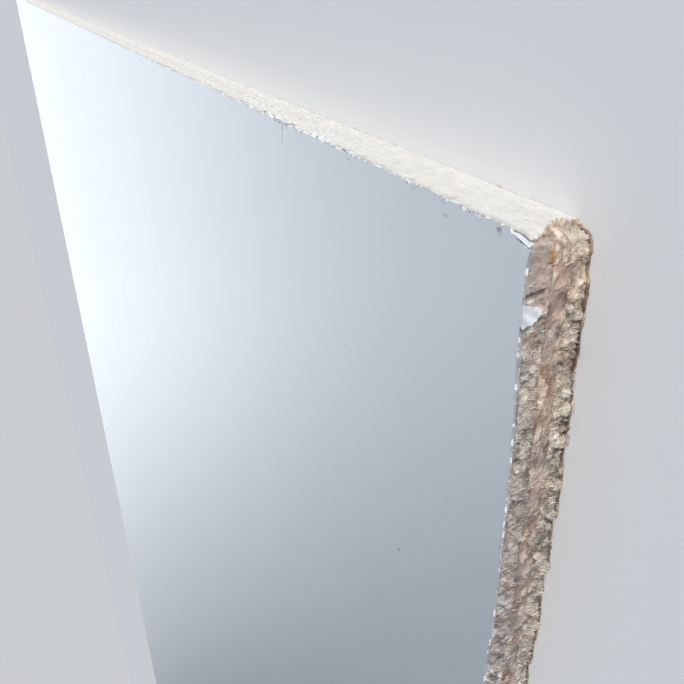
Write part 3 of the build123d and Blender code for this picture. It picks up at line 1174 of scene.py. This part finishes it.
def folded_strip(name, sections, thickness, rows=14, columns=9):
    """A bent strip with ragged ends. Each section is (inset, height, start, end) in mm."""
    sections = np.array(sections)
    shares = np.linspace(0, len(sections) - 1, rows)
    front, back = [], []
    for row, share in enumerate(shares):
        inset, height, start, end = [np.interp(share, range(len(sections)), column) for column in sections.T]
        start, end = start + draw.uniform(-0.22, 0.22), end + draw.uniform(-0.3, 0.3)
        for column in range(columns):
            down = start + (end - start) * column / (columns - 1)
            ripple = 0.08 * math.sin(2.6 * down + 1.9 * height) + draw.uniform(-0.02, 0.02)
            sag = draw.uniform(-0.12, 0.12) if row == rows - 1 else 0.0
            front.append((inset + ripple, down, height + sag))
            back.append((inset + ripple + 0.8 * thickness, down, height + sag - 0.6 * thickness))
    count, faces = len(front), []
    grid = np.arange(count).reshape(rows, columns)
    for a in grid[:-1, :-1].ravel():
        quad = (a, a + 1, a + 1 + columns, a + columns)
        faces += [quad, tuple(corner + count for corner in quad[::-1])]
    border = [*grid[0], *grid[1:, -1], *grid[-1, -2::-1], *grid[-2:0:-1, 0]]
    for first, second in zip(border, border[1:] + border[:1]):
        faces.append((first + count, second + count, second, first))
    return closed_piece(name, front + back, faces)


fold_sections = (
    (1.35, 11.99, 10.9, 14.0), (0.75, 11.93, 10.5, 14.2), (0.30, 11.55, 10.4, 14.1),
    (0.14, 10.80, 10.8, 13.5), (0.12, 9.90, 11.0, 13.0), (0.18, 9.30, 11.1, 12.6), (0.30, 8.90, 11.5, 12.3))
sliver_outline = (
    (5.4, 0.52, 11.85), (3.8, 0.42, 11.7), (2.3, 0.66, 11.6), (0.6, 1.05, 11.55), (0.85, 1.6, 11.97),
    (2.9, 1.08, 11.98), (4.9, 0.62, 11.98))
folded = folded_strip("folded_flake", fold_sections, 0.2)
sliver = thin_plate("corner_sliver", sliver_outline, 0.16)

# %% [markdown]
# The floor is plain and pale, and it gives off a little light that only the camera sees. The light is a
# soft lamp low over the sheet's short edge, as in the photograph: it strikes the short edge squarely, rakes
# across the torn long edge and only grazes the white face. The lamp is hidden from glossy rays, so the
# satin face does not mirror it. What the face mirrors instead is a gradient that only glossy rays see,
# brighter ahead of the camera than behind, which shades the face gently down the sheet.

# %% Floor, lamp and surroundings
floor_reach, floor_drop, floor_glow = 12.0, 0.02 * mm, 0.24
floor_mesh = bpy.data.meshes.new("floor")
floor_corners = [(-floor_reach, -floor_reach, 0), (floor_reach, -floor_reach, 0),
                 (floor_reach, floor_reach, 0), (-floor_reach, floor_reach, 0)]
floor_mesh.from_pydata(floor_corners, [], [(0, 1, 2, 3)])
floor = place_piece("floor", floor_mesh)
floor_material, floor_tree, floor_surface = principled("floor", roughness=1.0, specular=0.0)
fill(floor_surface.inputs["Base Color"], (0.80, 0.79, 0.78))
fill(floor_surface.inputs["Emission Color"], (1.0, 0.99, 0.98))
seen_by_camera = output("ShaderNodeLightPath", tree=floor_tree, title="Is Camera Ray")
fill(floor_surface.inputs["Emission Strength"], seen_by_camera * floor_glow)
floor_mesh.materials.append(floor_material)
floor.location.z = -floor_drop

lamp_data = bpy.data.lights.new("key", "SUN")
lamp_data.energy = 2.98
lamp_data.angle = math.radians(22)
lamp_data.color = (1.0, 0.985, 0.96)
lamp = bpy.data.objects.new("key", lamp_data)
light_from = Vector((0.80, -0.54, 0.18)).normalized()
lamp.rotation_euler = light_from.to_track_quat("Z", "Y").to_euler()
lamp.visible_glossy = False
bpy.context.scene.collection.objects.link(lamp)

world = bpy.data.worlds.new("surroundings")
world.use_nodes = True
bpy.context.scene.world = world
sky = world.node_tree
camera_ray, clear_ray, glossy_ray = [
    output("ShaderNodeLightPath", tree=sky, title=title)
    for title in ("Is Camera Ray", "Is Transmission Ray", "Is Glossy Ray")]
direction = output("ShaderNodeTexCoord", tree=sky, title="Generated")
ahead = maths("MAXIMUM", spread(direction["X"], -0.84, -0.36), spread(direction["X"], -0.86, -0.97, 0.0, 0.5))
near_horizon = spread(direction["Z"], 0.37, 0.27, 0.0, 0.2) * spread(direction["X"], -0.79, -0.72)
mirrored = blend_colours(ahead, (0.09, 0.11, 0.13), (1.60, 1.70, 1.80))
mirrored = blend_colours(1.0, mirrored, near_horizon, "ADD")
plain = blend_colours(maths("MAXIMUM", camera_ray, clear_ray), (0.243, 0.287, 0.353), (0.595, 0.610, 0.638))
fill(sky.nodes["Background"].inputs["Color"], blend_colours(glossy_ray, plain, mirrored))
bpy.context.scene.view_settings.view_transform = "Standard"
print("floor, lamp and surroundings ready")

# %% [markdown]
# Every piece is tied to the frame: it rides on the sheet's one body, and a dressed ply takes the place of its
# solid. Fibres and flakes replace nothing, because they only add to a ply or to the laminate.

# %% Tie the pieces to the frame
ply_slots = {
    "back_veneer": "back_veneer",
    "lower_crossband": "crossband_wood",
    "core_ply": "core_wood",
    "upper_crossband": "crossband_wood",
    "face_veneer": "face_wood",
}
for node, slot in ply_slots.items():
    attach(plies[node], "root")
    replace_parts(plies[node], node)
    plies[node]
    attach(fibres[node], "root")
    fibres[node]
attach(laminate, "root")
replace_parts(laminate, "white_laminate")
for piece in (flakes, long_flakes, lips, hanging, folded, sliver):
    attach(piece, "root")
